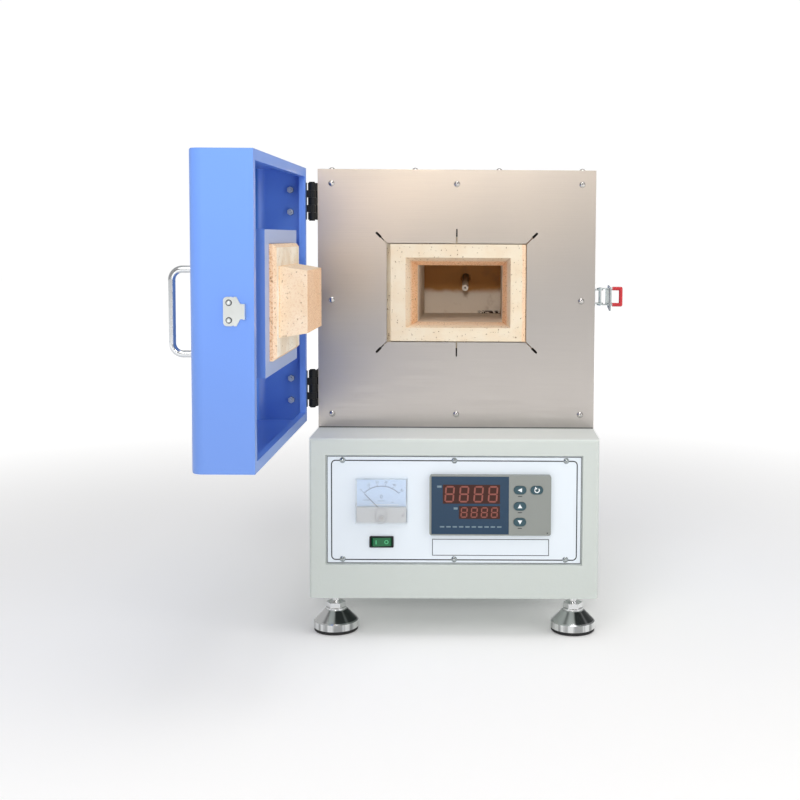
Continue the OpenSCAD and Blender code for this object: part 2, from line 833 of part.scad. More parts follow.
// Lower mask that hides the movement, hollow and open at the top for the needle
module meter_mask() {
    x = meter_w / 2 - cover_wall - seat;
    y0 = meter_y + cover_wall + seat;
    z0 = meter_z - meter_h / 2 + cover_wall + seat;
    z1 = meter_z - meter_h / 2 + meter_mask_h;
    color("#dfe6ea") {
        difference() {
            translate([meter_x, 0, 0]) block([-x, y0, z0], [x, panel_y - meter_flange, z1]);
            translate([meter_x, 0, 0])
                block([-x + cover_wall, y0 + mask_t, z0 + cover_wall], [x - cover_wall, panel_y, z1 + over]);
        }
        zero_screw_place() difference() {
            translate([0, 0, -0.5]) cylinder(d = zero_screw_d, h = cover_wall + seat + 0.5 + mask_t / 2);
            translate([0, 0, -0.5]) cube([zero_screw_d * 0.8, 1, 1.2], center = true);
        }
    }
}

// Middle of the slotted screw that sets the needle to zero, at the front of the clear cover
module zero_screw_place() {
    translate([meter_x, meter_y, meter_z - meter_h / 2 + 8]) rotate([-90, 0, 0]) children();
}

// Needle at zero, with its hub and spindle
module meter_needle() {
    color("#1c1c1e") {
        needle_place() cylinder(d = 3, h = meter_proud + 4);
        translate([meter_x, needle_y, needle_z]) rotate([0, -needle_zero, 0])
            block([0, 0, -0.4], [needle_l, needle_t, 0.4]);
    }
}

// Clear front of the meter
module meter_window() {
    color("#dceaf5", 0.35) difference() {
        translate([meter_x, 0, meter_z]) upright(meter_y, panel_y - meter_flange - meter_y)
            square([meter_w, meter_h], center = true);
        translate([meter_x, 0, meter_z]) upright(meter_y + cover_wall, meter_proud)
            square([meter_w - 2 * cover_wall, meter_h - 2 * cover_wall], center = true);
        zero_screw_place() cylinder(d = zero_screw_d + 2 * run, h = 4 * cover_wall, center = true);
    }
}

// Switch frame and the body behind the panel
module switch_bezel() {
    color("#1d1f21") translate([switch_x, 0, switch_z]) difference() {
        union() {
            upright(panel_y - switch_bezel_t, switch_bezel_t) round_rect(switch_w, switch_h, 1.5);
            upright(panel_y - switch_bezel_t / 2, 24) square([switch_w - 4, switch_h - 3], center = true);
        }
        upright(panel_y - switch_bezel_t - over, 19)
            square([2 * rocker_r + 2 * seat, rocker_h + 2 * seat], center = true);
    }
}

// Rocker pressed down at one end
module switch_rocker() {
    face = panel_y - switch_bezel_t - rocker_pivot_y - 1.2;
    color("#2fae4e") translate([switch_x, rocker_pivot_y, switch_z]) rotate([0, 0, rocker_tilt])
        translate([0, 0, -rocker_h / 2]) linear_extrude(rocker_h) intersection() {
            circle(rocker_r);
            translate([-rocker_r, face]) square([2 * rocker_r, 2 - face]);
        }
}

// Relay on its finned heat sink
module power_relay() {
    fins = 9;
    x = 70;
    y = 150;
    z = foot_h + sheet;
    color("#8d9399") {
        block([x - 40, y - 50, z], [x + 40, y + 50, z + 8]);
        for (i = [0:fins - 1])
            block([x - 40 + i * 9.6, y - 50, z + 7], [x - 38 + i * 9.6, y + 50, z + 45]);
        block([x - 22, y - 29, z + 44], [x + 22, y + 29, z + 68]);
    }
}

// Row of terminals on the base pan
module terminal_strip() {
    poles = 6;
    x = -120;
    y = 270;
    z = foot_h + sheet;
    color("#33363a") {
        block([x, y, z], [x + poles * 14, y + 26, z + 12]);
        for (i = [0:poles])
            block([x + i * 14 - 1, y, z + 11], [x + i * 14 + 1, y + 26, z + 20]);
    }
}

module gland_place() {
    translate([gland_x, case_back, gland_z]) rotate([-90, 0, 0]) children();
}

// Gland for the mains lead
module cable_gland() {
    color("#26282b") gland_place() difference() {
        union() {
            translate([0, 0, -8]) cylinder(d = gland_hole_d - 2 * seat, h = 20);
            cylinder(d = 24, h = 6, $fn = 6);
            translate([0, 0, 6]) cylinder(d1 = 20, d2 = 15, h = 12);
            translate([0, 0, -sheet - 5]) cylinder(d = 24, h = 5, $fn = 6);
        }
        translate([0, 0, -12]) cylinder(d = gland_bore_d, h = 40);
    }
}

// Polished foot with its hexagon and stud
module foot(x, y) {
    hex_r = foot_hex / sqrt(3);
    top_r = hex_r + 2;
    hub_z = pad_t + foot_rim + foot_cone;
    color("#d9dcdf") translate([x, y, 0]) {
        rotate_extrude() polygon([
            [0, pad_t], [foot_d / 2, pad_t], [foot_d / 2, pad_t + foot_rim - 1],
            [foot_d / 2 - 1, pad_t + foot_rim], [top_r, hub_z - 0.6], [top_r - 1, hub_z], [0, hub_z]
        ]);
        translate([0, 0, hub_z - over]) cylinder(r = hex_r + 0.5, h = over + 2);
        translate([0, 0, hub_z + 1.2]) cylinder(r = hex_r, h = 8, $fn = 6);
        translate([0, 0, hub_z + 9]) cylinder(d = stud_d + 3, h = 1.4);
        translate([0, 0, hub_z]) cylinder(d = stud_d, h = foot_h + 22 - hub_z);
    }
}

// Rubber sole of a foot
module pad(x, y) {
    color("#1b1c1d") translate([x, y, 0]) rotate_extrude() polygon([
        [0, 0], [foot_d / 2 - 1.5, 0], [foot_d / 2 - 0.5, 1], [foot_d / 2 - 0.5, pad_t], [0, pad_t]
    ]);
}

module foot_front_left() { foot(-foot_x, foot_ys[0]); }
module foot_front_right() { foot(foot_x, foot_ys[0]); }
module foot_rear_left() { foot(-foot_x, foot_ys[1]); }
module foot_rear_right() { foot(foot_x, foot_ys[1]); }
module pad_front_left() { pad(-foot_x, foot_ys[0]); }
module pad_front_right() { pad(foot_x, foot_ys[0]); }
module pad_rear_left() { pad(-foot_x, foot_ys[1]); }
module pad_rear_right() { pad(foot_x, foot_ys[1]); }

// Door shell: a pressed pan with a rim turned in all round and a short return
module door_pan() {
    color("#8db4ee") opened() difference() {
        union() {
            difference() {
                soft_box([-side_x, door_front_y, door_z0], [side_x, closed_rim_y, body_top],
                         door_round, door_edge);
                soft_box([-side_x + sheet, skin_y, door_z0 + sheet],
                         [side_x - sheet, closed_rim_y + over, body_top - sheet],
                         door_round - sheet, door_edge - sheet);
            }
            translate([0, 0, (door_z0 + body_top) / 2]) {
                upright(closed_rim_y - sheet, sheet)
                    frame_outline(body_w - sheet, door_h - sheet, rim_w - sheet / 2);
                upright(closed_rim_y - rim_return, rim_return)
                    frame_outline(body_w - 2 * rim_w + 2 * sheet, door_h - 2 * rim_w + 2 * sheet, sheet);
            }
        }
        for (z = hinge_z) hinge_bolt_places(z, -1)
            cylinder(d = screw_hole_d, h = 2 * rim_w, center = true);
        keeper_screw_places() cylinder(d = screw_hole_d, h = 2 * rim_w, center = true);
        handle_leg_places() cylinder(d = handle_d + 2 * run, h = 4 * sheet, center = true);
    }
}

// Box welded inside the door, with a front frame that holds the brick
module plug_holder() {
    color("#6f93df") opened() translate([0, 0, mouth_z + 1]) difference() {
        upright(skin_y, holder_y - skin_y) square([holder_w, holder_h], center = true);
        upright(skin_y - over, holder_y - skin_y - sheet + over)
            square([holder_w - 2 * sheet, holder_h - 2 * sheet], center = true);
        upright(holder_y - 2 * sheet, 3 * sheet)
            square([slab_w + 2 * seat, slab_h + 2 * seat], center = true);
    }
}

// Firebrick of the door: body behind the frame, slab and tapered plug
module door_brick() {
    core_y = holder_y - sheet - seat;
    chamfer = 4;
    color("#f0d9b5") opened() {
        translate([0, 0, mouth_z + 1]) {
            upright(skin_y + seat, core_y - skin_y - seat)
                square([holder_w - 2 * sheet - 2 * seat, holder_h - 2 * sheet - 2 * seat], center = true);
            upright(core_y - over, slab_y - chamfer - core_y + over)
                square([slab_w, slab_h], center = true);
            taper([0, slab_y - chamfer - 0.01, 0], slab_w, slab_h,
                  [0, slab_y, 0], slab_w - 2 * chamfer, slab_h - 2 * chamfer, 0);
        }
        taper([mouth_x, slab_y - 0.5, mouth_z + 1], plug_root_w, plug_root_h,
              [mouth_x + 1, slab_y + plug_l, mouth_z + 1], plug_tip_w, plug_tip_h, 0);
    }
}

// Middles of the two holes of the handle, with the door closed
module handle_leg_places() {
    for (z = [-1, 1])
        translate([handle_x, door_front_y, handle_z + z * handle_span / 2]) rotate([90, 0, 0]) children();
}

// Bent wire handle, with a nut on each leg inside the door
module door_handle() {
    bar_y = door_front_y - handle_reach - handle_d / 2;
    color("#e3e6e8") opened() {
        for (z = [-1, 1]) {
            end_z = handle_z + z * handle_span / 2;
            rod([handle_x, skin_y + 9, end_z], [handle_x, bar_y + handle_bend, end_z], handle_d);
            translate([handle_x, bar_y + handle_bend, end_z - z * handle_bend])
                rotate([90, 0, 90]) rotate(z > 0 ? 90 : 180) rotate_extrude(angle = 90)
                    translate([handle_bend, 0]) circle(d = handle_d);
            translate([handle_x, skin_y, end_z]) rotate([-90, 0, 0])
                cylinder(d = 2 * handle_d, h = 5, $fn = 6);
            translate([handle_x, door_front_y, end_z]) rotate([90, 0, 0])
                cylinder(d = 2 * handle_d, h = 1.5);
        }
        rod([handle_x, bar_y, handle_z - handle_span / 2 + handle_bend],
            [handle_x, bar_y, handle_z + handle_span / 2 - handle_bend], handle_d);
    }
}

// Screws of the keeper, pointing inwards along -X with the door closed
module keeper_screw_places() {
    for (z = [-1, 1])
        translate([side_x + keeper_t, keeper_end_y - 18, keeper_z + z * 9.3]) rotate([0, -90, 0]) children();
}

// Plate on the free edge of the door whose lip the bail takes hold of
module keeper_plate() {
    color("#d4d9d6") opened() difference() {
        union() {
            translate([0, keeper_end_y, keeper_z]) sideways(side_x, keeper_t) {
                translate([-keeper_l + keeper_l / 4, 0]) round_rect(keeper_l / 2, keeper_h, 4);
                polygon([[-keeper_l / 2 - 1, keeper_h / 2], [-keeper_l / 2 + 2, keeper_h / 2],
                         [-keeper_l / 4, keeper_lip_h / 2], [0, keeper_lip_h / 2],
                         [0, -keeper_lip_h / 2], [-keeper_l / 4, -keeper_lip_h / 2],
                         [-keeper_l / 2 + 2, -keeper_h / 2], [-keeper_l / 2 - 1, -keeper_h / 2]]);
            }
            block([side_x + keeper_t / 2, keeper_lip_y, keeper_z - keeper_lip_h / 2],
                  [side_x + keeper_lip, keeper_lip_y + keeper_t, keeper_z + keeper_lip_h / 2]);
        }
        keeper_screw_places() cylinder(d = screw_hole_d, h = 4 * keeper_t, center = true);
    }
}

// Bolts of the door's hinge leaves and screws of the keeper
module door_bolts() {
    color("#c6cbcf") opened() {
        for (z = hinge_z) hinge_bolt_places(z, -1) bolt(8, 2.4, leaf_t + sheet, 9.2, 4.5, 4);
        keeper_screw_places() screw(7, 2.4, keeper_t + sheet + 5);
    }
}

// Bolts of one hinge leaf, pointing into the cabinet: way is 1 on the body and -1 on the door
module hinge_bolt_places(z, way) {
    for (dz = [-hinge_bolt_dz, hinge_bolt_dz])
        translate([-side_x - leaf_t, pin_y + way * hinge_bolt_y, z + dz]) rotate([0, 90, 0]) children();
}

// One hinge leaf: way is 1 for the leaf on the body and -1 for the one on the door
module leaf(z, way) {
    clear = knuckle_d / 2 + 0.7;
    plate_x = -side_x - leaf_t;
    color("#17181a") difference() {
        union() {
            block([plate_x, way > 0 ? pin_y + clear : pin_y - leaf_l, z - hinge_h / 2],
                  [-side_x, way > 0 ? pin_y + leaf_l : pin_y - clear, z + hinge_h / 2]);
            for (i = [way > 0 ? 0 : 1 : 2 : knuckles - 1]) {
                z0 = z - hinge_h / 2 + i * knuckle_l + (i > 0 ? knuckle_gap / 2 : 0);
                z1 = z - hinge_h / 2 + (i + 1) * knuckle_l - (i < knuckles - 1 ? knuckle_gap / 2 : 0);
                translate([pin_x, pin_y, z0]) cylinder(d = knuckle_d, h = z1 - z0);
                block([plate_x, way > 0 ? pin_y : pin_y - clear - over, z0],
                      [plate_x + leaf_t - 0.4, way > 0 ? pin_y + clear + over : pin_y, z1]);
            }
        }
        if (way < 0)
            translate([pin_x, pin_y, z - hinge_h]) cylinder(d = pin_d + 2 * run, h = 2 * hinge_h);
        hinge_bolt_places(z, way) cylinder(d = screw_hole_d, h = 3 * leaf_t, center = true);
    }
    if (way > 0)
        color("#17181a") translate([pin_x, pin_y, z]) {
            cylinder(d = pin_d, h = hinge_h + 1, center = true);
            for (end = [-1, 1])
                translate([0, 0, end * (hinge_h / 2 + 0.75)]) cylinder(d = 8, h = 1.5, center = true);
        }
}

module body_leaf_upper() { leaf(hinge_z[0], 1); }
module body_leaf_lower() { leaf(hinge_z[1], 1); }
module door_leaf_upper() { opened() leaf(hinge_z[0], -1); }
module door_leaf_lower() { opened() leaf(hinge_z[1], -1); }

// Screws of the latch base, pointing into the cabinet
module latch_screw_places() {
    for (y = [latch_y + 12, latch_y + 30])
        translate([side_x + keeper_t, y, latch_z]) rotate([0, -90, 0]) children();
}

// Latch base: plate, two ears and the lever pivot
module latch_base() {
    ear_t = 2;
    color("#dfe3e4") difference() {
        union() {
            block([side_x, latch_y - 16, latch_z - 13], [side_x + keeper_t, latch_y + 38, latch_z + 13]);
            for (z = [-lever_gap, lever_gap - ear_t])
                translate([0, 0, latch_z + z]) {
                    translate([lever_x, latch_y, 0]) cylinder(d = 9, h = ear_t);
                    block([side_x + keeper_t / 2, latch_y - 4.5, 0], [lever_x, latch_y + 4.5, ear_t]);
                }
            translate([lever_x, latch_y, latch_z])
                cylinder(d = 4, h = 2 * (lever_gap + lever_t + 0.8), center = true);
        }
        latch_screw_places() cylinder(d = screw_hole_d, h = 4 * keeper_t, center = true);
    }
}

// Latch lever: two side plates, a web between them and the wire loop that takes the grip
module latch_lever() {
    color("#d8dcde") {
        difference() {
            union() {
                for (z = [lever_gap + 0.1, -lever_gap - 0.1 - lever_t])
                    translate([lever_x, latch_y, latch_z + z]) {
                        cylinder(d = 9, h = lever_t);
                        block([0, -4.5, 0], [throw + 5, 4.5, lever_t]);
                    }
                block([lever_x + throw - 4, latch_y + 3, latch_z - lever_gap - 1],
                      [lever_x + throw + 5, latch_y + 4.5, latch_z + lever_gap + 1]);
            }
            translate([lever_x, latch_y, latch_z - 2 * lever_gap])
                cylinder(d = 4 + 2 * run, h = 4 * lever_gap);
            translate([lever_x + throw, latch_y, latch_z - 2 * lever_gap])
                cylinder(d = bail_d + 2 * run, h = 4 * lever_gap);
        }
        lever_loop(wire_d, lever_x + throw + 4);
    }
}

// Wire loop at the outer end of the lever
module lever_loop(d, x0) {
    x1 = lever_x + lever_l - grip_d / 2;
    z = lever_gap + 0.1 + lever_t / 2;
    for (s = [-1, 1]) {
        rod([x0, latch_y, latch_z + s * z], [x1, latch_y, latch_z + s * z], d);
        translate([x1, latch_y, latch_z + s * z]) sphere(d = d);
    }
    rod([x1, latch_y, latch_z - z], [x1, latch_y, latch_z + z], d);
}

// Red plastic sleeve on the loop
module latch_grip() {
    color("#b3202a") difference() {
        lever_loop(grip_d, lever_x + throw + 5 + seat);
        lever_loop(wire_d + 2 * run, lever_x + throw);
    }
}

// Wire bail: two eyes in the lever, two sides and the bar that holds the door
module latch_bail() {
    z = lever_gap + lever_t + bail_d / 2 + 1.2;
    eye = [lever_x + throw, latch_y, latch_z];
    end = eye + [bail_dx, -bail_l, 0];
    bend_d = 1.06 * bail_d;
    color("#e6e9ea") {
        for (s = [-1, 1]) {
            rod(eye + [0, 0, s * (lever_gap - 1)], eye + [0, 0, s * z], bail_d);
            rod(eye + [0, 0, s * z], end + [0, 0, s * z], bail_d);
            translate(eye + [0, 0, s * z]) sphere(d = bend_d);
            translate(end + [0, 0, s * z]) sphere(d = bend_d);
        }
        rod(end - [0, 0, z], end + [0, 0, z], bail_d);
    }
}

upper_shell();
top_cover();
rear_cover();
front_plate();
front_plate_screws();
cabinet_screws();
insulation_front();
insulation_tray();
insulation_lid();
insulation_rear();
mouth_brick();
muffle();
heating_ribbon();
terminal_bushings();
thermocouple_sheath();
thermocouple_head();
control_case();
base_pan();
foot_nuts();
control_panel();
panel_screws();
controller_body();
controller_window();
key_back();
key_loop();
key_up();
key_down();
meter_case();
meter_dial();
meter_mask();
meter_needle();
meter_window();
switch_bezel();
switch_rocker();
power_relay();
terminal_strip();
cable_gland();
foot_front_left();
foot_front_right();
foot_rear_left();
foot_rear_right();
pad_front_left();
pad_front_right();
pad_rear_left();
pad_rear_right();
door_pan();
plug_holder();
door_brick();
door_handle();
keeper_plate();
door_bolts();
door_leaf_upper();
door_leaf_lower();
body_leaf_upper();
body_leaf_lower();
latch_base();
latch_lever();
latch_grip();
latch_bail();
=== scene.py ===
"""Looks of the bench muffle furnace: materials, prints, light and the camera of the photograph."""

import json
import math

import bmesh
import bpy
from mathutils import Matrix, Vector


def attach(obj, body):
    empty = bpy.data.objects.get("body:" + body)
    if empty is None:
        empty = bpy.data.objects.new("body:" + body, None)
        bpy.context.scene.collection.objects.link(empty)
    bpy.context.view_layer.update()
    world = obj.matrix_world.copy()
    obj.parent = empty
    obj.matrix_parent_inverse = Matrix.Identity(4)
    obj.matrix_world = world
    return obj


MM = 0.001

# Places in the frame, in mm, where a look changes
MOUTH_HALF = 24  # behind the front of the brick, where its worn inner half begins
BRICK_RIGHT = 93.5
SLAB_BACK = -198
PLUG_TIP = -168.5
HOLDER_FACE = -208.5
PAN_FLOOR = -220
REAR_WALL = 239.5
# The painted shadow on the rear wall begins at this height
REAR_SHADOW_EDGE = 453.5
CRUMBS = ((30, 69), 235, 416.75)  # left and right end, front and height of the crumbs on the muffle's floor
SHEATH_TIP, SHEATH_ROOT = 197, 232
BODY_SIDE = 190
CONE_FOOT, CONE_TOP = 15, 28.5

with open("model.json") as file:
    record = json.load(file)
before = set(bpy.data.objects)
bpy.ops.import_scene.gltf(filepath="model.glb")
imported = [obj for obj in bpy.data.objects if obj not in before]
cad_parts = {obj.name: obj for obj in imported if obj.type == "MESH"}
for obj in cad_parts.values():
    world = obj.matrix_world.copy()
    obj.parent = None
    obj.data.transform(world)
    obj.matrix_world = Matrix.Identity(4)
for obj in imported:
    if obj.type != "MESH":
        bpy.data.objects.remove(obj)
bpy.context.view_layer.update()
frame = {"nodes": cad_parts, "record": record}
scene = bpy.context.scene


class Value:
    """An output of a shader tree that can stand in a formula."""

    def __init__(self, tree, socket):
        self.tree = tree
        self.socket = socket

    def math(self, operation, *others):
        return self.tree.node("ShaderNodeMath", dict(enumerate((self, *others))), operation=operation)

    def __add__(self, other):
        return self.math("ADD", other)

    def __mul__(self, other):
        return self.math("MULTIPLY", other)

    def abs(self):
        return self.math("ABSOLUTE")

    def ramp(self, low, high, to_low=0.0, to_high=1.0):
        """Smooth step from to_low at low to to_high at high."""
        inputs = {0: self, 1: low, 2: high, 3: to_low, 4: to_high}
        return self.tree.node("ShaderNodeMapRange", inputs, interpolation_type="SMOOTHSTEP")

    def past(self, place, blur):
        """0 before that place and 1 past it, both in mm, with a soft edge of that width."""
        return self.ramp((place - blur / 2) * MM, (place + blur / 2) * MM)

    def before(self, place, blur):
        """1 before that place and 0 past it."""
        return self.ramp((place - blur / 2) * MM, (place + blur / 2) * MM, 1.0, 0.0)

    def mix(self, a, b):
        """The colour a where this is 0, and b where it is 1."""
        return self.tree.node("ShaderNodeMix", {0: self, 6: a, 7: b}, output=2, data_type="RGBA")


class Tree:
    """The shader tree of a material or a world."""

    def __init__(self, owner):
        owner.use_nodes = True
        self.tree = owner.node_tree

    def node(self, kind, inputs=None, output=0, **settings):
        node = self.tree.nodes.new(kind)
        for key, value in settings.items():
            setattr(node, key, value)
        for key, value in (inputs or {}).items():
            self.join(node.inputs[key], value)
        return Value(self, node.outputs[output])

    def join(self, socket, value):
        if isinstance(value, Value):
            self.tree.links.new(value.socket, socket)
        elif isinstance(value, tuple) and len(value) == 3 and socket.type == "RGBA":
            socket.default_value = (*value, 1.0)
        else:
            socket.default_value = value

    def place(self, output="Object"):
        return self.node("ShaderNodeTexCoord", output=output)

    def axis(self, index, output="Object"):
        return self.node("ShaderNodeSeparateXYZ", {0: self.place(output)}, output=index)


class Look(Tree):
    """A material made with a principled shader. Keywords set its sockets."""

    def __init__(self, name, color, roughness=0.5, metallic=0.0, **sockets):
        self.material = bpy.data.materials.new(name)
        super().__init__(self.material)
        self.shader = next(n for n in self.tree.nodes if n.type == "BSDF_PRINCIPLED")
        self.set(base_color=color, roughness=roughness, metallic=metallic, **sockets)

    def set(self, **sockets):
        for key, value in sockets.items():
            name = key.replace("_", " ").title().replace("Ior", "IOR")
            self.join(self.shader.inputs[name], value)

    def facing(self, index):
        """1 on faces that look along that axis, and 0 on those that look 60 degrees or more past it."""
        return self.axis(index, "Normal").ramp(0.5, 0.98)

    def stretched(self, x, y, z, output="Object"):
        return self.node("ShaderNodeMapping", {"Vector": self.place(output), "Scale": (x, y, z)})

    def noise(self, scale, detail=2.0, roughness=0.5, vector=None):
        inputs = {"Vector": vector or self.place(), "Scale": scale, "Detail": detail, "Roughness": roughness}
        return self.node("ShaderNodeTexNoise", inputs)

    def bump(self, height, depth):
        """Relief of that depth in mm."""
        inputs = {"Height": height, "Distance": depth * MM, "Strength": 1.0}
        self.set(normal=self.node("ShaderNodeBump", inputs))


def steel(name, color, roughness, fine=0.06):
    """Turned or drawn steel with slightly uneven polish."""
    look = Look(name, color, roughness, 1.0)
    look.set(roughness=look.noise(220, 3).ramp(0.3, 0.7, roughness - fine / 2, roughness + fine / 2))
    return look


def reflection_painted_steel():
    """Turned steel of the feet, with painted reflections: dark and bright streaks down the cone, and painted
    highlights on the bright rim and hexagon.
    """
    look = Look("turned_steel", (0.5, 0.5, 0.5), 0.14, 1.0)
    # Painted reflections: the cone is streaked dark and bright by its facing, and the rim and hexagon are
    # painted bright as highlights.
    painted_streak = look.noise(2.2, 2, 0.5, look.stretched(-1, 1, 0.25, "Normal")).ramp(0.42, 0.62)
    hexagon = look.axis(2).past(CONE_TOP, 1)
    rim = look.axis(2).before(CONE_FOOT, 1)
    bright = (painted_streak + hexagon * 0.75 + rim * 0.45).math("MINIMUM", 1.0)
    look.set(base_color=bright.mix((0.06, 0.066, 0.066), (0.80, 0.81, 0.81)))
    return look


def nut_steel():
    """Plated nuts in the door, with a painted highlight on the end and painted shade round the flats."""
    look = Look("plated_nut", (0.5, 0.5, 0.5), 0.3, 0.5)
    end = look.axis(1, "Normal").abs().ramp(0.6, 0.95)
    # Painted light: ends that face along Y are bright, the flats round them dark.
    look.set(base_color=end.mix((0.02, 0.025, 0.03), (0.72, 0.76, 0.76)))
    return look


def brushed_plate():
    """Stainless sheet brushed level, with a warm painted highlight at the upper left."""
    look = Look("brushed_stainless", (0.6, 0.58, 0.56), 0.34, 1.0, anisotropic=0.55)
    left = look.axis(0).ramp(-BODY_SIDE * MM, BODY_SIDE * MM, 1.0, 0.35)
    high = look.axis(2).ramp(0.40, 0.60)
    cloud = look.noise(5.5, 1, 0.4, look.stretched(1, 1, 0.7)).ramp(0.35, 0.65, 0.6, 1.0)
    # Painted highlight: paler and warmer towards the upper left, in soft clouds.
    warm_highlight = (left * high * cloud).mix((0.495, 0.465, 0.44), (1.0, 0.84, 0.68))
    grain = look.noise(90, 4, 0.6, look.stretched(0.12, 1, 14))
    color = (grain * 0.2).mix(warm_highlight, (0.40, 0.37, 0.34))
    look.set(base_color=color, roughness=grain.ramp(0.3, 0.7, 0.28, 0.42))
    look.bump(grain, 0.02)
    return look


def paint(name, color, roughness, peel=0.0, size=420, **sockets):
    """Sheet metal paint, with an orange peel of that depth in mm."""
    look = Look(name, color, roughness, **sockets)
    if peel:
        look.bump(look.noise(size, 2, 0.45), peel)
    return look


def blue_paint():
    """The blue of the furnace, a little deeper low down, with painted light and shade in the hollow of the
    open door.
    """
    look = paint("blue_paint", (0.16, 0.33, 0.88), 0.34, 0.03, 300, coat_weight=0.25, coat_roughness=0.15)
    high = look.axis(2).ramp(0.28, 0.62)
    outside = high.mix((0.125, 0.26, 0.69), (0.16, 0.33, 0.88))
    # Painted light and shade in the hollow: a paler blue low down, a dark blue at its top, and less coat.
    inside = high.mix((0.15, 0.38, 1.0), (0.015, 0.16, 0.52))
    shaded_hollow = look.facing(0) * look.axis(0).before(PAN_FLOOR, 10)
    look.set(base_color=shaded_hollow.mix(outside, inside), coat_weight=shaded_hollow.ramp(0.0, 1.0, 0.25, 0.0))
    return look


def holder_paint():
    """A darker blue, paler on the face of the front frame that grips the brick."""
    blue = (0.14, 0.28, 0.72)
    look = paint("holder_paint", blue, 0.42, 0.03, 300)
    frame_face = look.facing(0) * look.axis(0).past(HOLDER_FACE, 1)
    look.set(base_color=frame_face.mix(blue, (0.36, 0.46, 0.74)))
    return look


def case_paint():
    """Hammered grey, with painted light on the ledge before the front plate, which faces up."""
    grey = (0.55, 0.595, 0.57)
    look = paint("hammered_paint", grey, 0.36, 0.22, 330)
    lit_ledge = look.axis(2, "Normal").ramp(0.6, 0.98)
    # Painted light: faces that look up are paler.
    look.set(base_color=lit_ledge.mix(grey, (0.74, 0.78, 0.755)))
    return look


def brick(name, outer_axis, cream, wear_and_light, pitted):
    """Insulating firebrick: cream on its outer faces, orange and speckled on the cut sides.

    The outer faces look along outer_axis, either way. The mask function gives 0 to 1 for bare patches, and
    for the mouth it also holds painted light, less orange on its lit floor. pitted is the darkness of the
    pits.
    """
    look = Look(name, cream, 0.95, specular_ior_level=0.2)
    side = look.axis(outer_axis, "Normal").abs().ramp(0.5, 0.98, 1.0, 0.0)
    speckle = look.noise(520, 3, 0.7).ramp(0.50, 0.62)
    pits = look.noise(300, 2, 0.5).ramp(0.655, 0.70)
    cloud = look.noise(26, 3, 0.6).ramp(0.35, 0.7)
    color = side.mix(cream, (0.84, 0.725, 0.57))
    color = (cloud * 0.5).mix(color, (0.74, 0.57, 0.38))
    color = (speckle * (side * 0.2)).mix(color, (0.74, 0.44, 0.23))
    orange = speckle.mix((0.92, 0.57, 0.32), (0.66, 0.28, 0.10))
    color = wear_and_light(look, side).mix(color, orange)
    color = (pits * pitted).mix(color, (0.22, 0.12, 0.06))
    look.set(base_color=color)
    look.bump(look.noise(300, 4, 0.65) + pits * -1.5, 0.5)
    return look


def throat_wear_and_lit_floor(look, side):
    """The inner half of the mouth, less so its floor (painted light), and a ragged band down the brick's
    right edge.
    """
    inner = (look.axis(1) + look.noise(90, 3, 0.6) * 0.008).past(MOUTH_HALF, 14)
    # Painted light: faces that look up, the floor of the mouth, turn less orange.
    floor = look.axis(2, "Normal").ramp(0.3, 0.9, 1.0, 0.35)
    edge = (look.axis(0) + look.noise(60, 3, 0.6) * 0.006).past(BRICK_RIGHT, 2)
    return ((inner * 0.78 + 0.04) * side * floor).math("MAXIMUM", edge * 0.5)


def worn_slab(look, side):
    """The cut sides of the slab and the end of the plug. The plug's long sides stay cream."""
    slab = look.axis(0).before(SLAB_BACK, 1)
    tip = look.axis(0).past(PLUG_TIP, 1) * side.ramp(0.0, 1.0, 0.75, 0.0)
    return (side * (slab * 0.55 + 0.16)).math("MAXIMUM", tip)


def muffle_ceramic():
    """Pale ceramic, with a painted brown shadow high on the rear wall, and crumbs in the right corner of its
    floor.
    """
    look = Look("muffle_ceramic", (0.4, 0.3, 0.2), 0.9)
    # Painted shadow: the rear wall turns brown above an uneven line, as if in the shade of the mouth's top.
    high = (look.axis(2) + look.noise(35, 3) * 0.012).past(REAR_SHADOW_EDGE, 11)
    painted_shadow = look.axis(1).past(REAR_WALL, 7) * high
    wall = painted_shadow.mix((0.86, 0.75, 0.63), (0.58, 0.28, 0.09))
    stain = look.noise(30, 4, 0.65).ramp(0.52, 0.72)
    wall = (stain * 0.35).mix(wall, (0.35, 0.19, 0.09))
    (left, right), front, top = CRUMBS
    corner = look.axis(0).past(left, 8) * look.axis(0).before(right, 6)
    corner = corner * look.axis(1).past(front, 6) * look.axis(2).before(top, 3.5)
    crumbs = look.noise(210, 3, 0.6).ramp(0.455, 0.475)
    look.set(base_color=(corner * crumbs).mix(wall, (0.05, 0.025, 0.015)))
    look.bump(look.noise(260, 3), 0.4)
    return look


def sheath():
    """Porcelain tube, darker brown from its tip back to the wall."""
    look = Look("sheath", (0.86, 0.84, 0.80), 0.35)
    darkened = (look.axis(1) + look.noise(120, 3) * 0.012).ramp(SHEATH_TIP * MM, SHEATH_ROOT * MM)
    look.set(base_color=darkened.mix((0.84, 0.80, 0.74), (0.20, 0.115, 0.06)))
    return look


def fibre():
    look = Look("fibre_board", (0.84, 0.81, 0.74), 0.95)
    look.bump(look.noise(500, 4, 0.7, look.stretched(1, 1, 4)), 0.5)
    return look


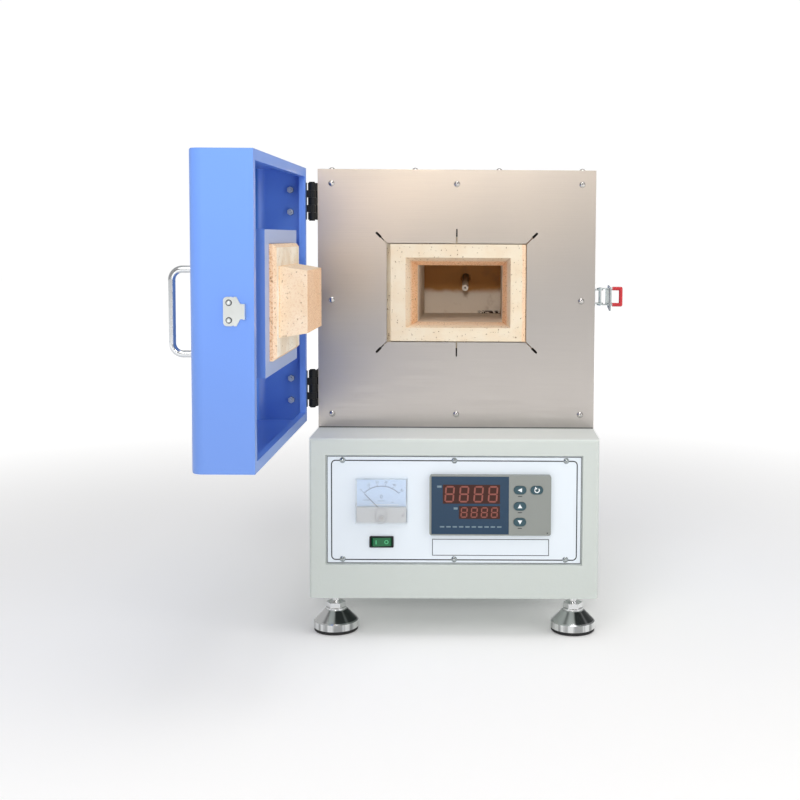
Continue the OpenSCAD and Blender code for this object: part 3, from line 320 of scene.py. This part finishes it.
looks = {
    "blue": blue_paint(),
    "holder": holder_paint(),
    "plate": brushed_plate(),
    "screw": steel("screw_steel", (0.62, 0.60, 0.58), 0.22),
    "fibre": fibre(),
    # Near-black board: painted shade where the front insulation shows through gaps in the front.
    "darkened": Look("gap_shade_board", (0.07, 0.062, 0.055), 0.95),
    "brick": brick("mouth_firebrick", 1, (0.78, 0.69, 0.54), throat_wear_and_lit_floor, 0.8),
    "door_brick": brick("door_firebrick", 0, (0.96, 0.90, 0.79), worn_slab, 0.5),
    "muffle": muffle_ceramic(),
    "ribbon": Look("ribbon_alloy", (0.12, 0.085, 0.065), 0.6, 0.7),
    "sheath": sheath(),
    "porcelain": Look("porcelain", (0.86, 0.84, 0.80), 0.3),
    "black": Look("black_plastic", (0.012, 0.013, 0.015), 0.45, specular_ior_level=0.25),
    "case": case_paint(),
    "panel": paint("panel_paint", (0.735, 0.80, 0.86), 0.4),
    "controller": paint("controller_plastic", (0.25, 0.268, 0.252), 0.42, 0.03, 900),
    "window": Look("display_window", (0.016, 0.046, 0.090), 0.15, specular_ior_level=0.35),
    "key": Look("key_rubber", (0.028, 0.075, 0.095), 0.42),
    "meter": Look("meter_plastic", (0.66, 0.73, 0.80), 0.3),
    "dial": Look("dial_paper", (0.47, 0.62, 0.84), 0.7),
    "mask": Look("mask_enamel", (0.44, 0.445, 0.45), 0.4),
    "needle": Look("needle_paint", (0.012, 0.012, 0.014), 0.5),
    "clear": Look("clear_cover", (0.92, 0.97, 1.0), 0.05, alpha=0.16),
    "lens": Look("green_lens", (0.004, 0.08, 0.028), 0.2,
                 emission_color=(0.01, 0.14, 0.05), emission_strength=0.3),
    "heat_sink": Look("heat_sink", (0.46, 0.47, 0.49), 0.4, 1.0),
    "foot": reflection_painted_steel(),
    "nut": nut_steel(),
    "rubber": Look("sole_rubber", (0.018, 0.018, 0.019), 0.8),
    "chrome": steel("handle_chrome", (0.70, 0.72, 0.74), 0.2),
    "zinc": steel("zinc", (0.74, 0.77, 0.76), 0.34, 0.1),
    "rod": steel("rod_steel", (0.42, 0.46, 0.47), 0.2),
    "lever": steel("lever_steel", (0.56, 0.61, 0.61), 0.3),
    "hinge": paint("hinge_paint", (0.006, 0.007, 0.008), 0.5, 0.05, 500, specular_ior_level=0.3),
    "grip": Look("red_grip", (0.52, 0.012, 0.02), 0.25, coat_weight=0.4),
    "ink": Look("black_ink", (0.02, 0.024, 0.03), 0.5),
    # A dark line painted as shade in narrow gaps and recesses.
    "shade_line": Look("painted_shade_line", (0.07, 0.075, 0.075), 0.6),
    "dial_ink": Look("dial_ink", (0.03, 0.04, 0.10), 0.6),
    "white_ink": Look("white_ink", (0.82, 0.86, 0.88), 0.5),
    "pale_ink": Look("pale_ink", (0.16, 0.23, 0.28), 0.5),
    "boss_ink": Look("boss_ink", (0.29, 0.295, 0.31), 0.4),
    "digit_back": Look("digit_back", (0.050, 0.014, 0.009), 0.5, specular_ior_level=0.3),
    "digit": Look("lit_digit", (0.14, 0.045, 0.035), 0.5,
                  emission_color=(0.42, 0.11, 0.08), emission_strength=0.32),
    "lit_green": Look("lit_mark", (0.05, 0.3, 0.13), 0.5,
                      emission_color=(0.06, 0.4, 0.18), emission_strength=0.5),
}

by_slot = {
    "blue_shell": "blue", "blue_holder": "holder", "stainless": "plate", "screws": "screw", "fibre": "fibre",
    "firebrick": "brick", "muffle_ceramic": "muffle", "resistance_alloy": "ribbon",
    "white_ceramic": "porcelain", "black_plastic": "black", "hammered_paint": "case",
    "white_panel": "panel", "controller_grey": "controller", "display": "window",
    "key_teal": "key", "meter_shell": "meter", "dial_blue": "dial", "meter_mask": "mask",
    "needle": "needle", "clear_cover": "clear", "green_lens": "lens", "heat_sink": "heat_sink",
    "polished_steel": "foot", "sole_rubber": "rubber", "handle_chrome": "chrome", "zinc": "zinc",
    "hinge_black": "hinge", "grip_red": "grip",
}
own_looks = {
    "door_brick": "door_brick", "thermocouple_sheath": "sheath", "latch_bail": "rod", "latch_lever": "lever",
    # insulation_front takes the near-black board, painted shade in the gaps where it shows.
    "latch_base": "lever", "door_bolts": "nut", "panel_screws": "rod", "insulation_front": "darkened",
}
for part in frame["record"]["subparts"]:
    look = own_looks.get(part["node"], by_slot[part["material_slot"]])
    materials = frame["nodes"][part["node"]].data.materials
    materials.clear()
    materials.append(looks[look].material)


def edges(node):
    """Left, lower, right and upper edge of a CAD node seen from the front, in mm."""
    corners = frame["nodes"][node].bound_box
    across, up = ([corner[axis] / MM for corner in corners] for axis in (0, 2))
    return min(across), min(up), max(across), max(up)


def middle(node):
    left, low, right, high = edges(node)
    return (left + right) / 2, (low + high) / 2


def extent(node):
    """Width and height of a CAD node seen from the front, in mm."""
    left, low, right, high = edges(node)
    return right - left, high - low


def moved(outlines, x, z):
    return [[(px + x, pz + z) for px, pz in outline] for outline in outlines]


def bar(x0, z0, x1, z1):
    return [[(x0, z0), (x1, z0), (x1, z1), (x0, z1)]]


def polar(x, z, radius, turn):
    """The point at that many degrees from +X on a circle round (x, z)."""
    return x + radius * math.cos(math.radians(turn)), z + radius * math.sin(math.radians(turn))


def rounded(x, z, w, h, r, steps=6):
    """Outline of a rectangle with round corners, centred on (x, z)."""
    points = []
    for quarter, (sx, sz) in enumerate(((1, 1), (-1, 1), (-1, -1), (1, -1))):
        centre = x + sx * (w / 2 - r), z + sz * (h / 2 - r)
        points += [polar(*centre, r, 90 * (quarter + step / steps)) for step in range(steps + 1)]
    return points


def outline_frame(x, z, w, h, r, line):
    """A band of that width inside the outline of a rounded rectangle."""
    outer = rounded(x, z, w, h, r)
    inner = rounded(x, z, w - 2 * line, h - 2 * line, max(r - line, 0.05))
    count = len(outer)
    return [[outer[i], outer[(i + 1) % count], inner[(i + 1) % count], inner[i]] for i in range(count)]


def arc(x, z, radius, line, start, end, steps=24):
    """A band along an arc. The angles are in degrees from +X."""
    turns = [start + (end - start) * i / steps for i in range(steps + 1)]
    outer = [polar(x, z, radius + line / 2, turn) for turn in turns]
    inner = [polar(x, z, radius - line / 2, turn) for turn in turns]
    return [[outer[i], outer[i + 1], inner[i + 1], inner[i]] for i in range(steps)]


def disc(x, z, d, steps):
    return [[polar(x, z, d / 2, 360 * i / steps) for i in range(steps)]]


def lettering(text, x, z, size, turn):
    """Outlines of digits, centred on (x, z) and turned by that many degrees."""
    curve = bpy.data.curves.new("lettering", "FONT")
    curve.body, curve.size, curve.align_x, curve.align_y = text, size, "CENTER", "CENTER"
    holder = bpy.data.objects.new("lettering", curve)
    mesh = bpy.data.meshes.new_from_object(holder)
    c, s = math.cos(math.radians(turn)), math.sin(math.radians(turn))
    outlines = []
    for face in mesh.polygons:
        points = [mesh.vertices[i].co for i in face.vertices]
        outlines.append([(x + c * p.x - s * p.y, z + s * p.x + c * p.y) for p in points])
    bpy.data.objects.remove(holder)
    bpy.data.curves.remove(curve)
    bpy.data.meshes.remove(mesh)
    return outlines


def eight(x, z, w, h, line, gap=0.35, lean=4.0):
    """The seven segments of one digit, whose lower left corner is at (x, z)."""
    half = line / 2
    end = w - line
    level = [(0, 0), (half, half), (end - half, half), (end, 0), (end - half, -half), (half, -half)]
    rise = h / 2 - half
    plumb = [(0, 0), (half, half), (half, rise - half), (0, rise), (-half, rise - half), (-half, half)]
    places = [(level, 0, row) for row in range(3)]
    places += [(plumb, column, row) for column in range(2) for row in range(2)]
    segments = []
    for shape, column, row in places:
        shape = [(half + column * end + px, half + row * rise + pz) for px, pz in shape]
        mx, mz = (sum(p[i] for p in shape) / len(shape) for i in (0, 1))
        length = max(abs(px - mx) + abs(pz - mz) for px, pz in shape)
        share = 1 - gap / length
        shrunk = [(mx + (px - mx) * share, mz + (pz - mz) * share) for px, pz in shape]
        segments.append([(x + px + pz * math.tan(math.radians(lean)), z + pz) for px, pz in shrunk])
    return segments


def printed(name, node, outlines, look, body="cabinet", proud=0.06, sunk=0.1):
    """Outlines in X and Z, in mm from the middle of a CAD node, laid on its front as a thin skin."""
    target = frame["nodes"][node]
    mesh = bmesh.new()
    for outline in moved(outlines, *middle(node)):
        front, back = [], []
        for x, z in outline:
            hit, place, _, _ = target.ray_cast(Vector((x * MM, -1, z * MM)), Vector((0, 1, 0)))
            if not hit:
                raise ValueError(f"{name} runs off {node} at {x:.1f}, {z:.1f}")
            front.append(mesh.verts.new(place - Vector((0, proud * MM, 0))))
            back.append(mesh.verts.new(place + Vector((0, sunk * MM, 0))))
        mesh.faces.new(front)
        mesh.faces.new(back[::-1])
        for i in range(len(front)):
            j = (i + 1) % len(front)
            mesh.faces.new((front[j], front[i], back[i], back[j]))
    bmesh.ops.recalc_face_normals(mesh, faces=mesh.faces)
    data = bpy.data.meshes.new(name)
    mesh.to_mesh(data)
    mesh.free()
    data.materials.append(looks[look].material)
    piece = bpy.data.objects.new(name, data)
    scene.collection.objects.link(piece)
    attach(piece, body)


# Painted shadow line in the gap where the front plate meets the case
plate_w, plate_h = extent("front_plate")
printed("plate_shadow_line", "front_plate",
        bar(1 - plate_w / 2, 0.3 - plate_h / 2, plate_w / 2 - 1, 1.7 - plate_h / 2), "shade_line")

# Lines printed on the panel, painted shade along its edge in the recess, and the bare frame of its label
panel_w, panel_h = extent("control_panel")
printed("panel_edge_shade", "control_panel", outline_frame(0, 0, panel_w - 0.6, panel_h - 0.6, 0.6, 0.9),
        "shade_line")
printed("panel_line", "control_panel", outline_frame(0, -0.5, panel_w - 11.2, panel_h - 9.6, 6, 1.5),
        "ink")
printed("label_frame", "control_panel", outline_frame(48.2, -49.9, 154.8, 22.4, 0.3, 0.9),
        "ink")

# Displays of the controller: digits, and plain marks in its window
large_digits, small_digits = [], []
for place in range(4):
    large_digits += eight(19.0 * place - 34.2, 4, 12.8, 22, 2.3)
    small_digits += eight(13.3 * place - 13.0, -16.4, 9.2, 14.2, 1.8)
printed("digit_backs", "controller_window", bar(-36, 2.4, 39.2, 27.6) + bar(-14.8, -17.8, 39.2, -0.8),
        "digit_back", proud=0.04)
printed("large_digits", "controller_window", large_digits, "digit", proud=0.12)
printed("small_digits", "controller_window", small_digits, "digit", proud=0.12)
window_marks = bar(-43.5, 23.6, -37.6, 26.4) + bar(-21.6, -5.4, -16.4, -2.6)
for place in range(10):
    window_marks += moved(bar(0, -29.4, 5.8, -27.6), 8.35 * place - 39.6, 0)
printed("window_marks", "controller_window", window_marks, "pale_ink")

# Keys of the controller: their signs, and plain marks below them
key_marks = bar(74.5, -37.2, 76.3, -35.8)
body_x, body_z = middle("controller_body")
for key in ("key_back", "key_up", "key_down"):
    key_x, key_z = middle(key)
    key_marks += moved(bar(-2.7, -8.9, 2.7, -7.9), key_x - body_x, key_z - body_z)
printed("key_marks", "controller_body", key_marks, "ink")
key_signs = {
    "key_back": ("back_key", [[(-3.1, 0), (2.5, -2.8), (2.5, 2.8)]]),
    "key_up": ("up_key", [[(-3.0, -2.4), (3.0, -2.4), (0, 2.8)]]),
    "key_down": ("down_key", [[(-2.8, 2.4), (0.2, -2.8), (3.2, 2.4)]]),
    "key_loop": ("loop_key", arc(0.3, 0.1, 3.0, 1.3, 120, 400) + [[(-3.3, -0.1), (0.9, 1.9), (-1.9, 4.7)]]),
}
for key, (body, sign) in key_signs.items():
    printed(f"{key}_sign", key, sign, "white_ink", body=body)

# Meter dial: a scale of 0 to 50 over 90 degrees, about the needle's pivot
hub = (0, -22.75)
scale_r = 32.0
scale_start, scale_end = 135, 45
scale = arc(*hub, scale_r, 0.9, scale_end, scale_start)
for tick in range(26):
    length, width = (3.0, 0.56) if tick % 5 == 0 else (1.7, 0.32)
    turn = scale_start + (scale_end - scale_start) * tick / 25
    across = Vector(polar(0, 0, width / 2, turn + 90))
    inner, outer = Vector(polar(*hub, scale_r, turn)), Vector(polar(*hub, scale_r + length, turn))
    scale.append([tuple(p) for p in (inner - across, inner + across, outer + across, outer - across)])
for step in range(6):
    turn = scale_start + (scale_end - scale_start) * step / 5
    scale += lettering(str(10 * step), *polar(*hub, scale_r + 5.6, turn), 4.4, turn - 90)
printed("dial_scale", "meter_dial", scale, "dial_ink")

# Plain marks below the scale, a white line above the mask, and the dark stop pin of the movement
printed("dial_marks", "meter_dial",
        outline_frame(0, -4.55, 3.2, 4.8, 1.4, 0.6) + bar(-4.6, -10.55, 4.6, -10.05)
        + bar(-23.7, -9.55, -14.7, -8.85) + bar(13.4, -12.55, 15.8, -11.95), "dial_ink")
printed("dial_line", "meter_dial", bar(-15.2, -15.95, 23.3, -15.05), "white_ink")
printed("stop_pin", "meter_mask", disc(28.2, -0.7, 2.2, 12), "ink", proud=0.1)

# The clear cover's arched boss round the zero screw
printed("boss_line", "meter_window", outline_frame(0, -18.3, 14.5, 21, 7.2, 0.6), "boss_ink")

# Power switch: lit signs for on and off
printed("rocker_signs", "switch_rocker", bar(-7.6, -2.7, -6.2, 2.7) + arc(6.6, 0, 2.2, 1.0, 0, 360),
        "lit_green", body="rocker")

# Floor just below the soles. It glows more and more with the distance and so fades into the white behind it.
floor_mesh = bpy.data.meshes.new("floor")
reach = 12
floor_mesh.from_pydata([(-reach, -reach, 0), (reach, -reach, 0), (reach, reach, 0), (-reach, reach, 0)], [],
                       [(0, 1, 2, 3)])
floor = bpy.data.objects.new("floor", floor_mesh)
floor.location.z = -0.5 * MM
floor_look = Look("floor", (0.86, 0.86, 0.86), 0.9, specular_ior_level=0.1, emission_strength=1.0)
away = floor_look.node("ShaderNodeVectorMath", {0: floor_look.place()}, output=1, operation="LENGTH")
floor_look.set(emission_color=away.ramp(0.5, 2.6, 0.12, 0.7))
floor_mesh.materials.append(floor_look.material)
scene.collection.objects.link(floor)

# Studio: brighter in front of the furnace than behind it, and plain white to the camera
world = bpy.data.worlds.new("studio")
scene.world = world
sky = Tree(world)
background = world.node_tree.nodes["Background"]
ahead = sky.axis(1, "Generated").ramp(-0.9, 0.1, 1.0, 0.0)
lit = ahead.mix((1.0, 1.0, 1.0), (0.72, 0.70, 0.68))
seen = sky.node("ShaderNodeLightPath", output="Is Camera Ray").mix(lit, (2.2, 2.2, 2.2))
sky.join(background.inputs["Color"], seen)
background.inputs["Strength"].default_value = 0.46


def soft_light(name, place, aim, size, power, color=(1, 1, 1), mirrored=True):
    """A round lamp. Where it isn't mirrored, it lights the furnace without a glint on the metal."""
    data = bpy.data.lights.new(name, "AREA")
    data.shape, data.size, data.energy, data.color = "DISK", size, power, color
    light = bpy.data.objects.new(name, data)
    light.location = place
    light.visible_glossy = mirrored
    light.rotation_euler = (Vector(aim) - Vector(place)).to_track_quat("-Z", "Y").to_euler()
    scene.collection.objects.link(light)


warm_white = (1.0, 0.98, 0.95)
soft_light("key_light", (-0.9, -2.6, 2.3), (0, 0, 0.4), size=1.4, power=17.8, color=(1.0, 0.97, 0.94))
soft_light("front_light", (0.0, -2.9, 1.13), (0, 0, 0.42), size=0.35, power=6.8, color=warm_white)
soft_light("chamber_light", (0.0, -2.9, 1.13), (0, 0, 0.42), size=0.35, power=15, color=warm_white,
           mirrored=False)
soft_light("fill_light", (2.4, -2.0, 1.2), (0, 0, 0.4), size=2.0, power=11.5, color=(0.97, 0.98, 1.0))
soft_light("side_light", (2.2, -1.0, 1.7), (-0.1, 0, 0.4), size=1.2, power=9, color=warm_white,
           mirrored=False)
soft_light("top_light", (0.2, -0.7, 3.1), (0, -0.1, 0.3), size=2.0, power=26)

# Camera fitted to the photograph by least squares. Its angles are in radians.
camera_place = (0.03586, -1.67362, 0.53415)
pan, tilt, roll = -0.008, -0.067, 0.006
camera_data = bpy.data.cameras.new("camera")
camera_data.sensor_width = 36
camera_data.lens = 54.64
camera_data.shift_x, camera_data.shift_y = -0.1152, -0.1027
camera = bpy.data.objects.new("camera", camera_data)
camera.matrix_world = (Matrix.Translation(camera_place) @ Matrix.Rotation(pan, 4, "Z")
                       @ Matrix.Rotation(math.pi / 2 + tilt, 4, "X") @ Matrix.Rotation(roll, 4, "Z"))
scene.collection.objects.link(camera)
scene.camera = camera
scene.render.resolution_x = scene.render.resolution_y = 800
scene.view_settings.view_transform = "Standard"
